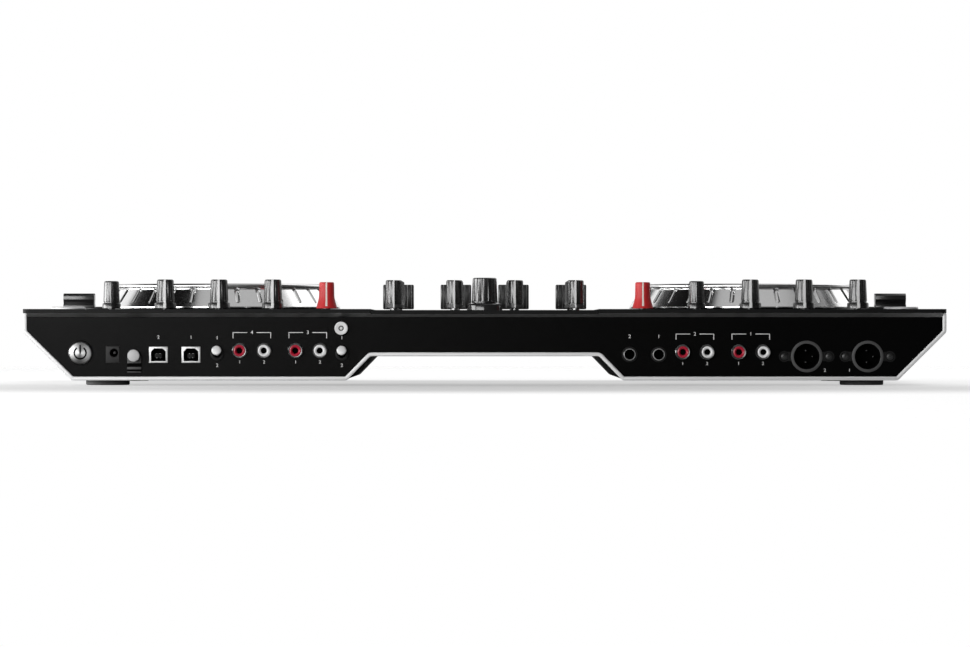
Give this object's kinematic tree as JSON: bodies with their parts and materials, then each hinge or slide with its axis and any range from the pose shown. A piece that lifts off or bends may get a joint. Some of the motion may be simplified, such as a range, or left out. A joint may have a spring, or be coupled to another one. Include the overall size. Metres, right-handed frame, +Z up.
{
  "type": "dj controller",
  "caption": "Two-deck DJ controller and mixer with jog wheels, knobs, faders and pads on a tunnel-backed case, with audio and data sockets along its rear panel.",
  "frame": {"origin": "on the floor under the middle of the whole object's box", "axes": "+X along the width towards the balanced outputs, -Y out of the rear panel, +Z up"},
  "size_m": [0.6912, 0.3744, 0.0809],
  "materials": {
    "pan_black": "fine moulded texture",
    "satin_silver": "satin",
    "panel_black": "satin black",
    "plate_black": "satin black paint",
    "foot_rubber": "matte",
    "screw_black": "black zinc",
    "board_green": "solder mask",
    "display_black": "gloss lens",
    "steel": "brushed",
    "knob_black": "satin moulded",
    "knob_red": "satin moulded",
    "cap_black": "satin moulded",
    "pad_rubber": "matte silicone",
    "button_plastic": "satin moulded",
    "jog_silver": "satin with polished ring",
    "chrome": "polished",
    "white_plastic": "satin",
    "socket_black": "moulded",
    "socket_grey": "dark satin",
    "rca_plastic": "moulded red and white"
  },
  "bodies": {
    "chassis": {"bottom_pan": "pan_black", "front_wall": "pan_black", "edge_trim": "satin_silver", "rear_panel": "panel_black", "left_deck_plate": "plate_black", "right_deck_plate": "plate_black", "mixer_plate": "plate_black", "rubber_feet": "foot_rubber", "case_screws": "screw_black", "board_standoffs": "steel", "circuit_boards": "board_green", "jog_posts": "display_black", "knob_pots": "steel", "tone_knobs": "knob_black", "fader_tracks": "steel", "tact_switches": "socket_black", "rear_switch_bodies": "socket_black", "dc_inlet": "socket_black", "cable_hook": "socket_black", "usb_sockets": "steel", "rca_sockets": "rca_plastic", "phone_jacks": "socket_black", "xlr_sockets": "socket_grey", "xlr_screws": "screw_black"},
    "left_jog_wheel": {"left_jog_wheel": "jog_silver"},
    "left_filter_knob": {"left_filter_knob": "knob_red"},
    "left_effect_knob_1": {"left_effect_knob_1": "knob_black"},
    "left_effect_knob_2": {"left_effect_knob_2": "knob_black"},
    "left_effect_knob_3": {"left_effect_knob_3": "knob_black"},
    "left_effect_encoder": {"left_effect_encoder": "knob_black"},
    "left_tempo_cap": {"left_tempo_cap": "cap_black"},
    "left_pad_mat": {"left_pad_mat": "pad_rubber"},
    "left_tempo_reset": {"left_tempo_reset": "satin_silver"},
    "left_cue_button": {"left_cue_button": "button_plastic"},
    "left_play_button": {"left_play_button": "button_plastic"},
    "right_jog_wheel": {"right_jog_wheel": "jog_silver"},
    "right_filter_knob": {"right_filter_knob": "knob_red"},
    "right_effect_encoder": {"right_effect_encoder": "knob_black"},
    "right_effect_knob_1": {"right_effect_knob_1": "knob_black"},
    "right_effect_knob_2": {"right_effect_knob_2": "knob_black"},
    "right_effect_knob_3": {"right_effect_knob_3": "knob_black"},
    "right_tempo_cap": {"right_tempo_cap": "cap_black"},
    "right_pad_mat": {"right_pad_mat": "pad_rubber"},
    "right_tempo_reset": {"right_tempo_reset": "satin_silver"},
    "right_cue_button": {"right_cue_button": "button_plastic"},
    "right_play_button": {"right_play_button": "button_plastic"},
    "gain_knob_1": {"gain_knob_1": "knob_black"},
    "channel_cap_1": {"channel_cap_1": "cap_black"},
    "gain_knob_2": {"gain_knob_2": "knob_black"},
    "channel_cap_2": {"channel_cap_2": "cap_black"},
    "gain_knob_3": {"gain_knob_3": "knob_black"},
    "channel_cap_3": {"channel_cap_3": "cap_black"},
    "gain_knob_4": {"gain_knob_4": "knob_black"},
    "channel_cap_4": {"channel_cap_4": "cap_black"},
    "browse_knob": {"browse_knob": "knob_black"},
    "crossfader_cap": {"crossfader_cap": "cap_black"},
    "power_button": {"power_button": "steel"},
    "line_toggle_1": {"line_toggle_1": "chrome"},
    "line_toggle_2": {"line_toggle_2": "chrome"},
    "ground_screw": {"ground_screw": "white_plastic"}
  },
  "joints": [
    {"name": "left_jog_wheel_turn", "type": "hinge", "parent": "chassis", "child": "left_jog_wheel", "pos_m": [-0.206, -0.01687, 0.0572], "axis": [0, 0, 1], "continuous": true},
    {"name": "left_filter_knob_turn", "type": "hinge", "parent": "chassis", "child": "left_filter_knob", "pos_m": [-0.1196, -0.13376, 0.0572], "axis": [0, 0, 1], "range_deg": [-150, 150]},
    {"name": "left_effect_knob_1_turn", "type": "hinge", "parent": "chassis", "child": "left_effect_knob_1", "pos_m": [-0.1603, -0.13376, 0.0572], "axis": [0, 0, 1], "range_deg": [-150, 150]},
    {"name": "left_effect_knob_2_turn", "type": "hinge", "parent": "chassis", "child": "left_effect_knob_2", "pos_m": [-0.201, -0.13376, 0.0572], "axis": [0, 0, 1], "range_deg": [-150, 150]},
    {"name": "left_effect_knob_3_turn", "type": "hinge", "parent": "chassis", "child": "left_effect_knob_3", "pos_m": [-0.2417, -0.13376, 0.0572], "axis": [0, 0, 1], "range_deg": [-150, 150]},
    {"name": "left_effect_encoder_turn", "type": "hinge", "parent": "chassis", "child": "left_effect_encoder", "pos_m": [-0.2824, -0.13376, 0.0572], "axis": [0, 0, 1], "continuous": true},
    {"name": "left_tempo_cap_slide", "type": "slide", "parent": "chassis", "child": "left_tempo_cap", "axis": [0, 1, 0], "range_m": [-0.05, 0.05]},
    {"name": "left_pad_mat_slide", "type": "slide", "parent": "chassis", "child": "left_pad_mat", "axis": [0, 0, -1], "range_m": [0, 0.0008], "stiffness_N_per_m": 3000, "springref_m": -0.001},
    {"name": "left_tempo_reset_slide", "type": "slide", "parent": "chassis", "child": "left_tempo_reset", "axis": [0, 0, -1], "range_m": [0, 0.0012], "stiffness_N_per_m": 400, "springref_m": -0.0015},
    {"name": "left_cue_button_slide", "type": "slide", "parent": "chassis", "child": "left_cue_button", "axis": [0, 0, -1], "range_m": [0, 0.0012], "stiffness_N_per_m": 400, "springref_m": -0.0015},
    {"name": "left_play_button_slide", "type": "slide", "parent": "chassis", "child": "left_play_button", "axis": [0, 0, -1], "range_m": [0, 0.0012], "stiffness_N_per_m": 400, "springref_m": -0.0015},
    {"name": "right_jog_wheel_turn", "type": "hinge", "parent": "chassis", "child": "right_jog_wheel", "pos_m": [0.206, -0.01687, 0.0572], "axis": [0, 0, 1], "continuous": true},
    {"name": "right_filter_knob_turn", "type": "hinge", "parent": "chassis", "child": "right_filter_knob", "pos_m": [0.1196, -0.13376, 0.0572], "axis": [0, 0, 1], "range_deg": [-150, 150]},
    {"name": "right_effect_encoder_turn", "type": "hinge", "parent": "chassis", "child": "right_effect_encoder", "pos_m": [0.1603, -0.13376, 0.0572], "axis": [0, 0, 1], "continuous": true},
    {"name": "right_effect_knob_1_turn", "type": "hinge", "parent": "chassis", "child": "right_effect_knob_1", "pos_m": [0.201, -0.13376, 0.0572], "axis": [0, 0, 1], "range_deg": [-150, 150]},
    {"name": "right_effect_knob_2_turn", "type": "hinge", "parent": "chassis", "child": "right_effect_knob_2", "pos_m": [0.2417, -0.13376, 0.0572], "axis": [0, 0, 1], "range_deg": [-150, 150]},
    {"name": "right_effect_knob_3_turn", "type": "hinge", "parent": "chassis", "child": "right_effect_knob_3", "pos_m": [0.2824, -0.13376, 0.0572], "axis": [0, 0, 1], "range_deg": [-150, 150]},
    {"name": "right_tempo_cap_slide", "type": "slide", "parent": "chassis", "child": "right_tempo_cap", "axis": [0, 1, 0], "range_m": [-0.05, 0.05]},
    {"name": "right_pad_mat_slide", "type": "slide", "parent": "chassis", "child": "right_pad_mat", "axis": [0, 0, -1], "range_m": [0, 0.0008], "stiffness_N_per_m": 3000, "springref_m": -0.001},
    {"name": "right_tempo_reset_slide", "type": "slide", "parent": "chassis", "child": "right_tempo_reset", "axis": [0, 0, -1], "range_m": [0, 0.0012], "stiffness_N_per_m": 400, "springref_m": -0.0015},
    {"name": "right_cue_button_slide", "type": "slide", "parent": "chassis", "child": "right_cue_button", "axis": [0, 0, -1], "range_m": [0, 0.0012], "stiffness_N_per_m": 400, "springref_m": -0.0015},
    {"name": "right_play_button_slide", "type": "slide", "parent": "chassis", "child": "right_play_button", "axis": [0, 0, -1], "range_m": [0, 0.0012], "stiffness_N_per_m": 400, "springref_m": -0.0015},
    {"name": "gain_knob_1_turn", "type": "hinge", "parent": "chassis", "child": "gain_knob_1", "pos_m": [-0.06885, -0.12876, 0.05645], "axis": [0, 0, 1], "range_deg": [-150, 150]},
    {"name": "channel_cap_1_slide", "type": "slide", "parent": "chassis", "child": "channel_cap_1", "axis": [0, 1, 0], "range_m": [-0.03, 0.03]},
    {"name": "gain_knob_2_turn", "type": "hinge", "parent": "chassis", "child": "gain_knob_2", "pos_m": [-0.02295, -0.12876, 0.05645], "axis": [0, 0, 1], "range_deg": [-150, 150]},
    {"name": "channel_cap_2_slide", "type": "slide", "parent": "chassis", "child": "channel_cap_2", "axis": [0, 1, 0], "range_m": [-0.03, 0.03]},
    {"name": "gain_knob_3_turn", "type": "hinge", "parent": "chassis", "child": "gain_knob_3", "pos_m": [0.02295, -0.12876, 0.05645], "axis": [0, 0, 1], "range_deg": [-150, 150]},
    {"name": "channel_cap_3_slide", "type": "slide", "parent": "chassis", "child": "channel_cap_3", "axis": [0, 1, 0], "range_m": [-0.03, 0.03]},
    {"name": "gain_knob_4_turn", "type": "hinge", "parent": "chassis", "child": "gain_knob_4", "pos_m": [0.06885, -0.12876, 0.05645], "axis": [0, 0, 1], "range_deg": [-150, 150]},
    {"name": "channel_cap_4_slide", "type": "slide", "parent": "chassis", "child": "channel_cap_4", "axis": [0, 1, 0], "range_m": [-0.03, 0.03]},
    {"name": "browse_knob_turn", "type": "hinge", "parent": "chassis", "child": "browse_knob", "pos_m": [0, -0.13876, 0.05645], "axis": [0, 0, 1], "continuous": true},
    {"name": "crossfader_cap_slide", "type": "slide", "parent": "chassis", "child": "crossfader_cap", "axis": [1, 0, 0], "range_m": [-0.0225, 0.0225]},
    {"name": "power_button_slide", "type": "slide", "parent": "chassis", "child": "power_button", "axis": [0, 1, 0], "range_m": [0, 0.0018], "stiffness_N_per_m": 400, "springref_m": -0.0015},
    {"name": "line_toggle_1_turn", "type": "hinge", "parent": "chassis", "child": "line_toggle_1", "pos_m": [-0.2001, -0.17336, 0.0236], "axis": [1, 0, 0], "range_deg": [0, 24]},
    {"name": "line_toggle_2_turn", "type": "hinge", "parent": "chassis", "child": "line_toggle_2", "pos_m": [-0.1068, -0.17336, 0.0236], "axis": [1, 0, 0], "range_deg": [0, 24]},
    {"name": "ground_screw_turn", "type": "hinge", "parent": "chassis", "child": "ground_screw", "pos_m": [-0.1072, -0.17536, 0.0428], "axis": [0, 1, 0], "continuous": true}
  ]
}
